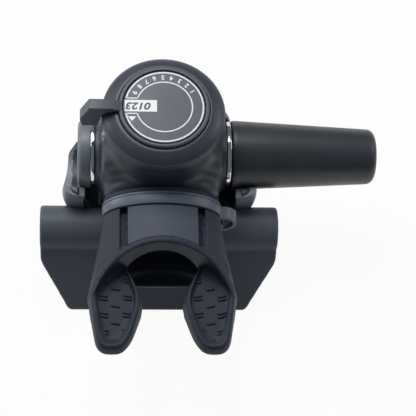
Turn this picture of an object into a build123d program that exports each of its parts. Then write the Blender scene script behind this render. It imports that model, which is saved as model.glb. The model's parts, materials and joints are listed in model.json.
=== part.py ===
from build123d import *
import math
import os

# Second stage of a scuba regulator, in millimetres.
# Origin: on the floor, under the axis of the tower. +X hose side, +Y front (purge
# cover), -Y towards the diver's mouth, +Z up.

# ---- driving dimensions -------------------------------------------------------
FIT = 0.05              # radial clearance of a running or seated round fit
GAP = 0.3               # clearance between pieces that move past each other
WALL = 2.2              # moulded wall of the case

# case: a drum lying on its side, with a tower above it
DRUM_R = 35.0
DRUM_FLAT = 1.0         # depth of the flat foot cut into the drum
DRUM_REAR_Y = -17.0
DRUM_SHOULDER_Y = 6.5   # where the drum starts to narrow towards the front
DRUM_EDGE = 4.0         # rounding of the rear edge
FRONT_Y = 13.0          # front face of the case
FRONT_R = 28.4
EAR_X = 30.5            # inner side of the ears beside the barrel
TOWER_R = 22.4
TOWER_RISE = 4.0        # seam of the top cap above the drum's crown
NECK_RISE = 7.0         # axis of the mouth passage above the barrel's axis
NECK_ROOT_A = 21.4
NECK_ROOT_B = 12.4
NECK_A = 18.4           # neck under the mouthpiece, half width
NECK_B = 9.8            # and half height
NECK_LENGTH = 16.6      # neck beyond the tower
NECK_WALL = 2.0

# inlet barrel, across the tower
BARREL_RISE = 6.8       # barrel's axis above the drum's axis
BARREL_R = 12.9
BARREL_END_X = 24.8
COLLAR_R = 10.9         # thick collars that carry the valve tube
RING_T = 1.5            # chrome rings at both ends of the barrel
RING_CHAMFER = 0.5
CAP_T = 4.9             # round plug on the left
CAP_ROUND = 1.6
CAP_STEM_R = 5.0
CAP_DISH_R = 3.2
CAP_CLEAR = 0.6         # room round the rings and plug in the case
TUBE_R = 7.5            # valve tube
TUBE_BORE = 6.0

# hose end
TAIL_PLUG_R = 3.55
TAIL_PLUG_L = 8.2
TAIL_BORE = 2.2
TAIL_SHANK_R = 3.9
TAIL_FLANGE_R = 7.0
TAIL_FLANGE_T = 2.0
BARB_R = 4.0
BARB_ROOT_R = 3.4
BARB_PITCH = 4.0
SEAL_CORD = 0.38        # half thickness of the O-ring on the plug
SEAL_BED = 2.75         # radius of its groove
HOSE_R = 6.25           # bore that takes the hose
NUT_LENGTH = 11.9
NUT_R = 9.6
NUT_CHAMFER = 1.0
FERRULE_LENGTH = 21.4
FERRULE_R = 7.4
CRIMP_ROOM = 0.3        # room between ferrule and hose before crimping
CRIMP_DEPTH = 0.4
SLEEVE_LENGTH = 55.2
SLEEVE_STEP = 0.3       # bend sleeve beyond the barrel's radius
SLEEVE_TIP_R = 10.4
SLEEVE_ROUND = 3.0

# valve mechanism
LEVER_ARM = 13.0        # pivot to the tip that touches the diaphragm
STROKE = 3.0            # travel of the diaphragm and the purge button
LEVER_SINK = 0.87       # arm's middle line behind the pivot's centre
LEVER_JOGGLE = 2.2      # length of the bend before the tip
PIVOT_X = -11.7
PIVOT_Y = 9.5
PIN_R = 0.8
EYE_WALL = 0.7          # metal round the pin
LEVER_T = 0.8
LEVER_W = 3.2
LUG_HALF = 2.9          # half width of the lug that holds the pin
ORIFICE_X = 8.0
ORIFICE_R = 3.2
ORIFICE_SHANK_R = 2.45
ORIFICE_LENGTH = 9.5
JET_R = 1.5             # bore of the orifice
SEAT_T = 1.5
SEAT_R = 3.6
HEAD_T = 2.5            # poppet head behind its seat
STEM_R = 2.0
STEM_TAIL_R = 1.6
FOOT_COLLAR_R = 4.4     # collar that the lever's foot pulls
FOOT_COLLAR_T = 1.8
ADJUSTER_T = 3.0
VALVE_SPRING_R = 3.2
VALVE_SPRING_WIRE = 0.7

# diaphragm and front cover
SEAT_Y = 12.0           # rear face of the diaphragm's bead
BEAD_W = 2.0
BEAD_T = 2.6
SHEET_T = 0.8
FOLD = 1.0              # depth of the diaphragm's fold
PLATE_R = 10.0
PLATE_T = 0.6
SLIP_T = 0.8
SLIP_HOLE_R = 12.5
COVER_STEP = 0.2        # cover inside the case's front edge
COVER_FRONT_Y = 22.4
COVER_WALL = 2.0
COVER_SLOPE = 7.2       # from the cover's edge in to its flat front
BUTTON_R = 15.0
BUTTON_FLANGE = 2.2
BUTTON_SKIN = 1.8
BUTTON_POST_R = 5.0
BUTTON_FRONT_Y = 24.0
COVER_SPRING_WIRE = 0.8
VENTS = 12
VENT_W = 1.8

# top: cap, fixed dial and rotating lever ring
CAP_SHOULDER = 5.4      # from the tower's wall in to the cap's rim
CAP_RIM_RISE = 4.0      # rim of the cap above the seam
CAP_SINK = 1.4          # underside of the cap's floor below the seam
CAP_FLOOR_T = 1.6
DIAL_PROUD = 1.0        # dial above the cap's rim
RING_BAND = 1.7         # lever ring beyond the dial
DIAL_T = 1.8
DIAL_EDGE = 0.3         # bevel round the dial
HUB_R = 5.0
SCREW_R = 1.2
RING_PROUD = 0.2        # lever ring above the dial
ARM_REACH = 7.9         # lever's arm beyond the tower
ARM_W = 4.2
ARM_PROUD = 1.4         # top of the arm above the dial
ARM_DROP = 12.4         # from the arm's top to the low end of the grip
ARM_SLOPE = 8.0         # drop of its sloping end
GRIP_W = 6.5            # grip from the sloping end back to its inner face
LEVER_TURN = 38.0       # degrees from rest towards the diver
VANE_ROOM = 2.6         # room between the vane and the tower's wall
VANE_T = 1.4
VANE_HANG = 17.6        # length of the blade
VANE_HALF = 28.0        # half angle of the blade
DRIVE_R = 10.0          # circle of the pin that turns the vane
DRIVE_PIN_R = 1.2

# exhaust
PORT_Z = 16.2
PORT_R = 9.4
VALVE_R = 10.6
VALVE_T = 1.2
VALVE_STEM_R = 1.5
VALVE_KNOB_R = 2.4
SPIDER_R = 3.0
TEE_HALF = 45.4
TEE_Y = -22.9
TEE_Z = 23.0
TEE_R = 8.6
TEE_WALL = 2.0
SKIRT_Y = -47.5
SKIRT_LIP = 1.2         # height of the skirt's lower edge
SKIRT_HALF = 34.0       # half width of the skirt's lower edge
SKIRT_BREAK = 14.0      # how far in front of the duct's axis the ends turn in
TEE_RAKE = 0.55         # the ends lean back by this much per unit of height

# mouthpiece and strap
SLEEVE_SEAT = 0.2       # mouthpiece's sleeve clear of the tower
MOUTH_BEAD_T = 2.4
MOUTH_SKIN = 2.1
THROAT = 4.5            # from the neck's end to the front of the lip guard
GUARD_R = 28.8
GUARD_T = 2.6
GUARD_DEPTH = 19.1      # from there to where its ends run out into the tabs
GUARD_HALF_W = 27.0
GUARD_TOP = 15.3        # guard above the axis of the neck
GUARD_LOW = 15.5        # and below it
HORN_TOP = 1.3          # horn below the guard's upper edge
OPENING_A = 13.6
OPENING_TOP = 7.0       # mouth opening above the axis of the neck
OPENING_LOW = 11.6      # and below it
OPENING_BOW = 3.3       # depth of its bowed lower part
LEDGE_DEPTH = 8.5       # from the guard's front to the edge of the lip between the tabs
TAB_IN_X = 5.9
TAB_LENGTH = 21.0       # tabs beyond the guard's ends
TAB_T = 7.0
TAB_RISE = 2.2          # middle of the tabs above the axis of the neck
TAB_TAPER = 10.0        # degrees that the tab's sides lean in
TAB_RIM = 1.9           # ridge round the bite plate
TROUGH = 2.3            # bite plate below that ridge
PANEL_HALF = 12.6       # raised panel on top of the neck
GROOVE_W = 2.9
GROOVE_T = 1.2
STRAP_W = 4.8
STRAP_T = 1.3
STRAP_TAIL = 5.4        # reach of the looped tail beyond the strap's head

# ---- values that follow -------------------------------------------------------
DRUM_Z = DRUM_R - DRUM_FLAT
BARREL_Z = DRUM_Z + BARREL_RISE
NECK_Z = BARREL_Z + NECK_RISE
TAB_Z = NECK_Z + TAB_RISE
COVER_R = FRONT_R - COVER_STEP
DIAPHRAGM_R = COVER_R - 2 * COVER_WALL
BONNET_Z = DRUM_Z + COVER_R + COVER_WALL    # underside of the tower in front of the cover
POCKET_Z = BARREL_Z - BARREL_R - 1.3        # floor of the pockets under the barrel ends
SEAM_Z = DRUM_Z + DRUM_R + TOWER_RISE
CAP_RIM_Z = SEAM_Z + CAP_RIM_RISE
CAP_FLOOR_Z = SEAM_Z - CAP_SINK
CAP_TOP_Z = CAP_FLOOR_Z + CAP_FLOOR_T
DIAL_Z = CAP_RIM_Z + DIAL_PROUD
RING_TOP_Z = DIAL_Z + RING_PROUD
ARM_TOP_Z = DIAL_Z + ARM_PROUD
ARM_LOW_Z = ARM_TOP_Z - ARM_DROP
VANE_TOP_Z = CAP_FLOOR_Z - GAP - 0.2
VANE_R = TOWER_R - WALL - VANE_ROOM
CAP_RIM_R = TOWER_R - CAP_SHOULDER
RING_R = CAP_RIM_R - 2 * GAP
DIAL_R = RING_R - RING_BAND
ARM_END_X = -TOWER_R - ARM_REACH
RING_X = BARREL_END_X + RING_T
CAP_X = RING_X + CAP_T
TUBE_END_X = BARREL_END_X - 0.1
NUT_X = RING_X + GAP
NUT_END_X = NUT_X + NUT_LENGTH
FERRULE_X = NUT_END_X + 2 * FIT
FERRULE_END_X = FERRULE_X + FERRULE_LENGTH
TAIL_END_X = FERRULE_END_X - 1
TAIL_X = NUT_X - TAIL_PLUG_L
SLEEVE_END_X = NUT_X + SLEEVE_LENGTH
SLEEVE_R = BARREL_R + SLEEVE_STEP
INLET_X = ORIFICE_X + 4
HEAD_X = ORIFICE_X - FIT - SEAT_T           # front of the poppet's head
FOOT_X = PIVOT_X - LEVER_T / 2 - GAP        # face that the lever's foot pulls
ADJUSTER_X = -TUBE_END_X + 0.6 * ADJUSTER_T
PLATE_Y = SEAT_Y + 0.5
SHEET_Y = PLATE_Y + PLATE_T
BEAD_Y = SEAT_Y + BEAD_T
SLIP_Y = BEAD_Y + SLIP_T
COVER_BACK_Y = COVER_FRONT_Y - COVER_WALL
NECK_ROOT_Y = -TOWER_R
NECK_END_Y = NECK_ROOT_Y - NECK_LENGTH
MOUTH_SLEEVE_Y = NECK_ROOT_Y - SLEEVE_SEAT
STRAP_Y = MOUTH_SLEEVE_Y - MOUTH_BEAD_T
GUARD_Y = NECK_END_Y - THROAT
GUARD_END_Y = GUARD_Y - GUARD_DEPTH
LEDGE_Y = GUARD_Y - LEDGE_DEPTH
TAB_END_Y = GUARD_END_Y - TAB_LENGTH
STRAP_END_Y = STRAP_Y - STRAP_W
MOUTH_A = NECK_A + FIT + MOUTH_SKIN         # outside of the mouthpiece's sleeve
MOUTH_B = NECK_B + FIT + MOUTH_SKIN


def section(points, rounds=()):
    """Closed flat outline; rounds lists (corner number, radius)."""
    face = make_face(Polyline(*points, close=True))
    for number, radius in rounds:
        corner = face.vertices().sort_by_distance(points[number])[0]
        face = fillet(corner, radius)
    return face


def turned_x(points, rounds=()):
    """Turned about the barrel axis; points are (x, radius)."""
    return Pos(0, 0, BARREL_Z) * revolve(Plane.XZ * section(points, rounds), Axis.X)


def turned_y(points, rounds=(), z=None):
    """Turned about the drum axis; points are (y, radius)."""
    place = Pos(0, 0, DRUM_Z if z is None else z)
    return place * revolve(Plane.YZ * section(points, rounds), Axis.Y)


def turned_z(points, rounds=()):
    """Turned about the tower axis; points are (radius, z)."""
    return revolve(Plane.XZ * section(points, rounds), Axis.Z)


def block(x, y, z):
    """Box from (low, high) pairs."""
    size = [high - low for low, high in (x, y, z)]
    return Pos(x[0], y[0], z[0]) * Box(*size, align=(Align.MIN,) * 3)


def rod(r, length):
    """Cylinder standing on Z = 0."""
    return Cylinder(r, length, align=(Align.CENTER, Align.CENTER, Align.MIN))


def rod_x(r, x0, x1, y=0.0, z=BARREL_Z):
    return Pos(x0, y, z) * Rot(0, 90, 0) * rod(r, x1 - x0)


def rod_y(r, y0, y1, x=0.0, z=0.0):
    return Pos(x, y1, z) * Rot(90, 0, 0) * rod(r, y1 - y0)


def rod_z(r, z0, z1, x=0.0, y=0.0):
    return Pos(x, y, z0) * rod(r, z1 - z0)


def oval_y(a, b, y0, y1, z=NECK_Z):
    """Straight oval bar along Y."""
    return Pos(0, y1, z) * Rot(90, 0, 0) * extrude(Ellipse(a, b), y1 - y0)


def coil(radius, wire, length, turns):
    """Coil spring standing on Z = 0; the wire has six flat sides."""
    rise = length - wire
    path = Helix(pitch=rise / turns, height=rise, radius=radius)
    section_plane = Plane(path @ 0, z_dir=path % 0)
    return Pos(0, 0, wire / 2) * sweep(section_plane * RegularPolygon(wire / 2, 6), path, is_frenet=True)


def seal(radius, cord):
    """O-ring about Z, centred on its own plane."""
    return revolve(Plane.XZ * Pos(radius, 0) * RegularPolygon(cord, 8), Axis.Z)


# ---- case ---------------------------------------------------------------------
def case_envelope():
    """Outside of the case: drum, tower, barrel and neck root."""
    y0, y1 = DRUM_REAR_Y, FRONT_Y
    drum = turned_y([(y0, 0), (y0, DRUM_R), (DRUM_SHOULDER_Y, DRUM_R), (y1, FRONT_R), (y1, 0)],
                    [(1, DRUM_EDGE), (2, DRUM_EDGE)])
    far = 2 * DRUM_R
    shoulder = block((TOWER_R - 0.1, far), (-far, far), (BARREL_Z, far))
    shoulder += block((TOWER_R - 0.1, EAR_X), (-far, DRUM_SHOULDER_Y + 2), (POCKET_Z, far))
    drum -= shoulder
    drum -= mirror(shoulder, Plane.YZ)
    tower = rod_z(TOWER_R, BARREL_Z, SEAM_Z)
    tower -= block((-far, far), (0, far), (0, BONNET_Z))
    barrel = rod_x(BARREL_R, -BARREL_END_X, BARREL_END_X)
    root = oval_y(NECK_ROOT_A, NECK_ROOT_B, NECK_ROOT_Y, 0)
    solid = tower + root + barrel + drum
    for x0, x1 in ((BARREL_END_X, far), (-far, -BARREL_END_X)):
        solid -= rod_x(BARREL_R + CAP_CLEAR, x0, x1)
    solid -= block((-far, far), (-far, far), (-far, 0))
    return solid


def case_cavity():
    """Room inside the case, one wall in from the envelope."""
    y0 = DRUM_REAR_Y + WALL
    r = DRUM_R - WALL
    bore = DIAPHRAGM_R - BEAD_W
    drum = turned_y([(y0, 0), (y0, r), (DRUM_SHOULDER_Y, r), (SEAT_Y - WALL, bore),
                     (SEAT_Y, bore), (SEAT_Y, 0)], [(1, DRUM_EDGE - WALL)])
    far = 2 * DRUM_R
    inner = TOWER_R - WALL
    for x0, x1 in ((inner, far), (-far, -inner)):
        drum -= block((x0, x1), (-far, far), (POCKET_Z - WALL, far))
    drum -= block((-far, far), (-far, far), (-far, WALL))
    drum -= block((-far, far), (SEAT_Y - 3 * WALL, far), (BONNET_Z - WALL, far))
    tower = rod_z(inner, BARREL_Z, SEAM_Z)
    tower -= block((-far, far), (0, far), (0, BONNET_Z + WALL))
    return drum + tower


def case():
    spigot = COVER_R - COVER_WALL - 0.2
    body = case_envelope()
    body += turned_y([(FRONT_Y, 0), (FRONT_Y, spigot), (BEAD_Y, spigot), (BEAD_Y, 0)])
    body += oval_y(NECK_A, NECK_B, NECK_END_Y, NECK_ROOT_Y + WALL)
    body -= case_cavity()
    seat = DIAPHRAGM_R + FIT
    body -= turned_y([(SEAT_Y, 0), (SEAT_Y, seat), (BEAD_Y, seat), (BEAD_Y, 0)])
    body += rod_x(COLLAR_R, -BARREL_END_X, WALL - TOWER_R)
    body += rod_x(COLLAR_R, TOWER_R - WALL, BARREL_END_X)
    body -= oval_y(NECK_A - NECK_WALL, NECK_B - NECK_WALL, NECK_END_Y, NECK_WALL - 0.6 * TOWER_R)
    body -= rod_x(TUBE_R + FIT, -BARREL_END_X, BARREL_END_X)
    return body - exhaust_port()


def exhaust_port():
    """Round port behind the exhaust valve, with a spider left in it."""
    y0, y1 = DRUM_REAR_Y, DRUM_REAR_Y + WALL
    port = rod_y(PORT_R, y0, y1, z=PORT_Z)
    port -= rod_y(SPIDER_R, y0, y1, z=PORT_Z)
    half = SPIDER_R / 4
    for turn in (0, 60, 120):
        bar = block((-PORT_R, PORT_R), (y0, y1), (-half, half))
        port -= Pos(0, 0, PORT_Z) * Rot(0, turn, 0) * bar
    return port + rod_y(VALVE_STEM_R + FIT, y0, y1, z=PORT_Z)


# ---- inlet barrel -------------------------------------------------------------
def valve_tube():
    x = TUBE_END_X
    tube = rod_x(TUBE_R, -x, x)
    reach = 2 * PIN_R
    lug = block((PIVOT_X - reach, PIVOT_X + reach), (TUBE_BORE - 1, PIVOT_Y + reach - 0.3),
                (-LUG_HALF, LUG_HALF))
    tube += Pos(0, 0, BARREL_Z) * lug
    tube -= rod_x(TUBE_BORE, -x, x)
    half = LEVER_W / 2 + 0.2
    window = block((PIVOT_X - 3.4, PIVOT_X + 2.4), (0, TUBE_R + 4), (-half, half))
    tube -= Pos(0, 0, BARREL_Z) * window
    air_slot = block((-0.6 * ORIFICE_X, HEAD_X), (-TUBE_R - 1, 0), (-2.6, 2.6))
    tube -= Pos(0, 0, BARREL_Z) * air_slot
    return tube - rod_z(PIN_R + FIT, BARREL_Z - LUG_HALF, BARREL_Z + LUG_HALF, PIVOT_X, PIVOT_Y)


def lever_pin():
    return rod_z(PIN_R, BARREL_Z - LUG_HALF, BARREL_Z + LUG_HALF, PIVOT_X, PIVOT_Y)


def inlet_fitting():
    x0, x1 = INLET_X, BARREL_END_X
    r = TUBE_BORE - FIT
    body = turned_x([(x0, 0), (x0, r), (x1, r), (x1, BARREL_R), (RING_X, BARREL_R), (RING_X, 0)],
                    [(4, RING_CHAMFER)])
    body -= rod_x(TAIL_PLUG_R + FIT, ORIFICE_X + ORIFICE_LENGTH + 0.5, RING_X)
    return body - rod_x(ORIFICE_SHANK_R + FIT, x0, ORIFICE_X + ORIFICE_LENGTH + 0.5)


def orifice():
    x, end = ORIFICE_X, ORIFICE_X + ORIFICE_LENGTH
    shank = ORIFICE_SHANK_R
    return turned_x([(x, JET_R), (x, JET_R + 0.4), (x + JET_R, ORIFICE_R), (INLET_X, ORIFICE_R),
                     (INLET_X, shank), (end, shank), (end, JET_R)])


def end_ring():
    x0, x1 = -RING_X, -BARREL_END_X
    r = CAP_STEM_R + FIT
    return turned_x([(x0, r), (x0, BARREL_R), (x1, BARREL_R), (x1, r)], [(1, RING_CHAMFER)])


def end_cap():
    x0, x1 = -CAP_X, -TUBE_END_X + 0.5 * ADJUSTER_T
    floor = x0 + CAP_T / 2
    return turned_x([(x0, CAP_DISH_R), (x0, BARREL_R), (-RING_X, BARREL_R), (-RING_X, CAP_STEM_R),
                     (x1, CAP_STEM_R), (x1, 0), (floor, 0), (floor, CAP_DISH_R)], [(1, CAP_ROUND)])


def adjusting_nut():
    x0, x1 = ADJUSTER_X, ADJUSTER_X + ADJUSTER_T
    nut = rod_x(TUBE_BORE - FIT, x0, x1) - rod_x(STEM_TAIL_R + 2 * FIT, x0, x1)
    slot = block((x0, x0 + 0.4 * ADJUSTER_T), (-4, 4), (-0.7, 0.7))
    return nut - Pos(0, 0, BARREL_Z) * slot


def poppet():
    tail = ADJUSTER_X + 0.8 * ADJUSTER_T
    back = HEAD_X - HEAD_T
    collar = FOOT_X - FOOT_COLLAR_T
    r = TUBE_BORE - 0.08
    body = turned_x([(tail, 0), (tail, STEM_TAIL_R), (collar, STEM_TAIL_R), (collar, FOOT_COLLAR_R),
                     (FOOT_X, FOOT_COLLAR_R), (FOOT_X, STEM_R), (back, STEM_R), (back, r), (HEAD_X, r),
                     (HEAD_X, 0)])
    groove = rod_x(1.3, back, HEAD_X, y=r, z=0)
    for turn in range(0, 360, 90):
        body -= Pos(0, 0, BARREL_Z) * Rot(turn, 0, 0) * groove
    return body


def poppet_seat():
    return rod_x(SEAT_R, HEAD_X, HEAD_X + SEAT_T)


def poppet_spring():
    x0 = ADJUSTER_X + ADJUSTER_T + FIT
    x1 = FOOT_X - FOOT_COLLAR_T - FIT
    spring = coil(VALVE_SPRING_R, VALVE_SPRING_WIRE, x1 - x0, 3)
    return Pos(x0, 0, BARREL_Z) * Rot(0, 90, 0) * spring


def demand_lever():
    """Bent strip: a foot in the window of the tube and an arm behind the diaphragm.

    The arm slopes so that a full stroke lays it flat between the tube and the plate.
    """
    tip_x, tip_y = PIVOT_X + LEVER_ARM, PLATE_Y - GAP
    half, foot = LEVER_T / 2, STEM_R + 1
    slope = STROKE / LEVER_ARM
    near = PIVOT_Y - LEVER_SINK
    bend = tip_x - LEVER_JOGGLE
    strip = [(PIVOT_X - half, foot), (PIVOT_X + half, foot), (PIVOT_X + half, near - half),
             (bend, near - half + slope * (bend - PIVOT_X)), (tip_x, tip_y - LEVER_T), (tip_x, tip_y),
             (tip_x - LEVER_T, tip_y), (bend - LEVER_T, near + half + slope * (bend - LEVER_T - PIVOT_X)),
             (PIVOT_X - half, near + half)]
    z0, z1 = BARREL_Z - LEVER_W / 2, BARREL_Z + LEVER_W / 2
    lever = Pos(0, 0, z0) * extrude(section(strip), LEVER_W)
    lever += rod_z(PIN_R + EYE_WALL, z0, z1, PIVOT_X, PIVOT_Y)
    return lever - rod_z(PIN_R + FIT, z0, z1, PIVOT_X, PIVOT_Y)


# ---- hose end -----------------------------------------------------------------
def hose_tail():
    """Plug with an O-ring groove, flange under the nut, shank and barbs."""
    x0, x1 = TAIL_X, NUT_X
    groove = x0 + 3
    barbs = []
    for n in range(3):
        x = FERRULE_X + BARB_PITCH * (n + 1)
        barbs += [(x, BARB_ROOT_R), (x, BARB_R), (x + BARB_PITCH - 1, BARB_ROOT_R)]
    flange = x1 + TAIL_FLANGE_T
    shoulder = FERRULE_X + 2
    return turned_x([(x0, TAIL_BORE), (x0, TAIL_PLUG_R), (groove, TAIL_PLUG_R), (groove, SEAL_BED),
                     (groove + 3 * SEAL_CORD, SEAL_BED), (groove + 3 * SEAL_CORD, TAIL_PLUG_R),
                     (x1, TAIL_PLUG_R), (x1, TAIL_FLANGE_R), (flange, TAIL_FLANGE_R),
                     (flange, TAIL_SHANK_R), (shoulder, TAIL_SHANK_R), (shoulder, BARB_ROOT_R)]
                    + barbs + [(TAIL_END_X, BARB_ROOT_R), (TAIL_END_X, TAIL_BORE)])


def hose_seal():
    x = TAIL_X + 3 + 1.5 * SEAL_CORD
    return Pos(x, 0, BARREL_Z) * Rot(0, 90, 0) * seal(SEAL_BED + SEAL_CORD + 0.02, SEAL_CORD)


def hose_nut():
    x0, x1 = NUT_X, NUT_END_X
    edge = NUT_R - NUT_CHAMFER
    hexagon = extrude(RegularPolygon(NUT_R, 6, major_radius=True), x1 - x0)
    nut = Pos(x0, 0, BARREL_Z) * Rot(0, 90, 0) * hexagon
    nut &= turned_x([(x0, 0), (x0, edge), (x0 + NUT_CHAMFER, NUT_R), (x1 - NUT_CHAMFER, NUT_R), (x1, edge),
                     (x1, 0)])
    nut -= rod_x(TAIL_FLANGE_R + 2 * FIT, x0, x0 + TAIL_FLANGE_T + FIT)
    return nut - rod_x(TAIL_SHANK_R + 2 * FIT, x0, x1)


def hose_ferrule():
    """Crimped cup over the end of the hose."""
    x0, x1 = FERRULE_X, FERRULE_END_X
    r, hole, bore = FERRULE_R, TAIL_SHANK_R + 2 * FIT, HOSE_R + CRIMP_ROOM
    low = r - CRIMP_DEPTH
    crimps = []
    for share in (0.3, 0.53, 0.76):
        x = x0 + share * FERRULE_LENGTH
        crimps += [(x, r), (x + 0.8, low), (x + 2.2, low), (x + 3, r)]
    return turned_x([(x0, hole), (x0, r)] + crimps
                    + [(x1, r), (x1, bore), (x0 + 1.6, bore), (x0 + 1.6, hole)])


def hose_sleeve():
    x0, x1 = NUT_X, SLEEVE_END_X
    xa, xb = FERRULE_X, FERRULE_END_X + 2 * FIT
    return turned_x([(x0, NUT_R + FIT), (x0, SLEEVE_R), (x1, SLEEVE_TIP_R), (x1, HOSE_R), (xb, HOSE_R),
                     (xb, FERRULE_R + FIT), (xa, FERRULE_R + FIT), (xa, NUT_R + FIT)],
                    [(1, 1.0), (2, SLEEVE_ROUND)])


# ---- diaphragm and cover ------------------------------------------------------
def diaphragm():
    r1 = DIAPHRAGM_R - BEAD_W
    y0, y1 = SHEET_Y, SHEET_Y + SHEET_T
    mid = (PLATE_R + r1) / 2 + 1
    flat = mid - 3
    return turned_y([(y0, 0), (y0, flat), (y0 - FOLD, mid), (y0, r1), (SEAT_Y, r1), (SEAT_Y, DIAPHRAGM_R),
                     (BEAD_Y, DIAPHRAGM_R), (BEAD_Y, r1), (y1, r1), (y1 - FOLD, mid), (y1, flat), (y1, 0)])


def diaphragm_plate():
    return turned_y([(PLATE_Y, 0), (PLATE_Y, PLATE_R), (SHEET_Y, PLATE_R), (SHEET_Y, 0)])


def slip_ring():
    r0, r1 = SLIP_HOLE_R, DIAPHRAGM_R
    return turned_y([(BEAD_Y, r0), (BEAD_Y, r1), (SLIP_Y, r1), (SLIP_Y, r0)])


def cover_ring():
    """Screwed front cover with a ring of vents round the button."""
    y0, y1, inner = FRONT_Y + 0.2, COVER_FRONT_Y, COVER_BACK_Y
    hole = BUTTON_R + GAP
    thread = COVER_R - COVER_WALL
    rim = COVER_R - COVER_SLOPE
    land = DIAPHRAGM_R - 1
    ring = turned_y([(y0, thread), (y0, COVER_R), (y0 + 3, COVER_R - 0.4), (y1, rim), (y1, hole),
                     (inner, hole), (inner, rim - 0.5), (SLIP_Y + 1.2, land), (SLIP_Y, land),
                     (SLIP_Y, thread)], [(2, 3.0), (3, 2.0)])
    slot = block((hole + 0.6, rim + 1.5), (inner - 2 * COVER_WALL, y1 + 1), (-VENT_W / 2, VENT_W / 2))
    for n in range(VENTS):
        ring -= Pos(0, 0, DRUM_Z) * Rot(0, 360 / VENTS * (n + 0.5), 0) * slot
    return ring


def purge_button():
    """Dished button with a post behind it that meets the diaphragm."""
    y1 = COVER_BACK_Y - 2 * FIT
    y0 = y1 - BUTTON_SKIN / 2
    back = SHEET_Y + SHEET_T + GAP
    front = BUTTON_FRONT_Y
    floor = front - BUTTON_SKIN - 0.8
    wall, flange = BUTTON_R - BUTTON_SKIN, BUTTON_R + BUTTON_FLANGE
    return turned_y([(back, 0), (back, BUTTON_POST_R), (floor, BUTTON_POST_R), (floor, wall), (y0, wall),
                     (y0, flange), (y1, flange), (y1, BUTTON_R), (front - 2.2, BUTTON_R),
                     (front - 0.6, BUTTON_R - 3.5), (front, 0)], [(8, 1.2)])


def purge_spring():
    y0 = SLIP_Y + FIT
    y1 = COVER_BACK_Y - 2 * FIT - BUTTON_SKIN / 2 - FIT
    radius = (BUTTON_R - BUTTON_SKIN + BUTTON_R) / 2 + 0.1
    spring = coil(radius, COVER_SPRING_WIRE, y1 - y0, 1.5)
    return Pos(0, y0, DRUM_Z) * Rot(-90, 0, 0) * spring


# ---- top cap and venturi lever ------------------------------------------------
def cap_shoulder(out=0.0):
    """Points (radius, z) of the cap's rounded shoulder, from the seam up to the rim."""
    r = TOWER_R + out
    return [(r, SEAM_Z), (r - 0.4, SEAM_Z + 1.4 + out / 2), (r - WALL, SEAM_Z + 2.9 + out),
            (CAP_RIM_R + 0.6, CAP_RIM_Z + out)]


def top_cap():
    """Domed cap with a sunken floor that carries the dial and its lever ring."""
    plug, well = TOWER_R - WALL - FIT, RING_R + GAP
    floor = CAP_TOP_Z
    cap = turned_z([(0, CAP_FLOOR_Z), (plug, CAP_FLOOR_Z), (plug, SEAM_Z)] + cap_shoulder()
                   + [(well, CAP_RIM_Z), (well, floor), (0, floor)], [(4, 2.0), (5, 3.0), (6, 0.5)])
    cap -= rod_z(SCREW_R + 0.4, CAP_FLOOR_Z, floor)
    return cap - drive_slot()


def wedge(turn):
    """Tall slice from the +X side round by the given angle."""
    far = 4 * TOWER_R
    a = math.radians(turn)
    corners = [(0, 0), (far, 0), (far, far * math.tan(a / 2)), (far * math.cos(a), far * math.sin(a))]
    return extrude(section(corners), 2 * DIAL_Z)


def drive_slot():
    """Arc slot in the cap's floor for the pin that turns the vane."""
    z0, z1 = CAP_FLOOR_Z, CAP_TOP_Z
    half = DRIVE_PIN_R + GAP
    end = rod_z(half, z0, z1, 0, -DRIVE_R)
    r0, r1 = DRIVE_R - half, DRIVE_R + half
    band = turned_z([(r0, z0), (r1, z0), (r1, z1), (r0, z1)])
    return end + Rot(0, 0, LEVER_TURN) * end + (band & Rot(0, 0, -90) * wedge(LEVER_TURN))


def dial_plate():
    low = DIAL_Z - DIAL_T
    plate = turned_z([(0, CAP_TOP_Z), (HUB_R, CAP_TOP_Z), (HUB_R, low), (DIAL_R, low),
                      (DIAL_R, DIAL_Z - DIAL_EDGE), (DIAL_R - DIAL_EDGE, DIAL_Z), (0, DIAL_Z)])
    return plate - rod_z(SCREW_R, CAP_TOP_Z, CAP_TOP_Z + 3)


def dial_screw():
    z0, z1 = CAP_FLOOR_Z, CAP_TOP_Z + 2.8
    low = z0 - SCREW_R - 0.2
    head, shank = 2 * SCREW_R + 0.2, SCREW_R - FIT
    return turned_z([(0, low), (head, low), (head, z0), (shank, z0), (shank, z1), (0, z1)])


def lever_ring():
    """Ring round the dial with a hanging arm on its left."""
    floor = CAP_TOP_Z + 2 * FIT
    web = DIAL_Z - DIAL_T - GAP
    top = RING_TOP_Z
    bevel = 0.7
    hub = HUB_R + FIT
    ring = turned_z([(hub, floor), (RING_R, floor), (RING_R, top - bevel), (RING_R - bevel, top),
                     (DIAL_R + 2 * GAP, top), (DIAL_R + GAP, web), (hub, web)])
    root = DIAL_R + 2 * GAP
    grip = ARM_END_X + GRIP_W
    side = [(-root, top - 2 * bevel), (-root, top), (-RING_R - 2.6, ARM_TOP_Z),
            (ARM_END_X + 3.4, ARM_TOP_Z), (ARM_END_X, ARM_TOP_Z - ARM_SLOPE),
            (ARM_END_X + 0.8, ARM_LOW_Z), (grip, ARM_LOW_Z)]
    side += [(-r, z) for r, z in cap_shoulder(GAP)]
    side += [(-RING_R, CAP_RIM_Z + GAP), (-RING_R, top - 2 * bevel)]
    arm = Plane.XZ * section(side, [(4, 0.8), (5, 0.8)])
    return ring + extrude(arm, ARM_W / 2, both=True)


def drive_pin():
    return rod_z(DRIVE_PIN_R, VANE_TOP_Z - VANE_T - 0.5, CAP_TOP_Z + 2 * FIT, 0, -DRIVE_R)


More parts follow.
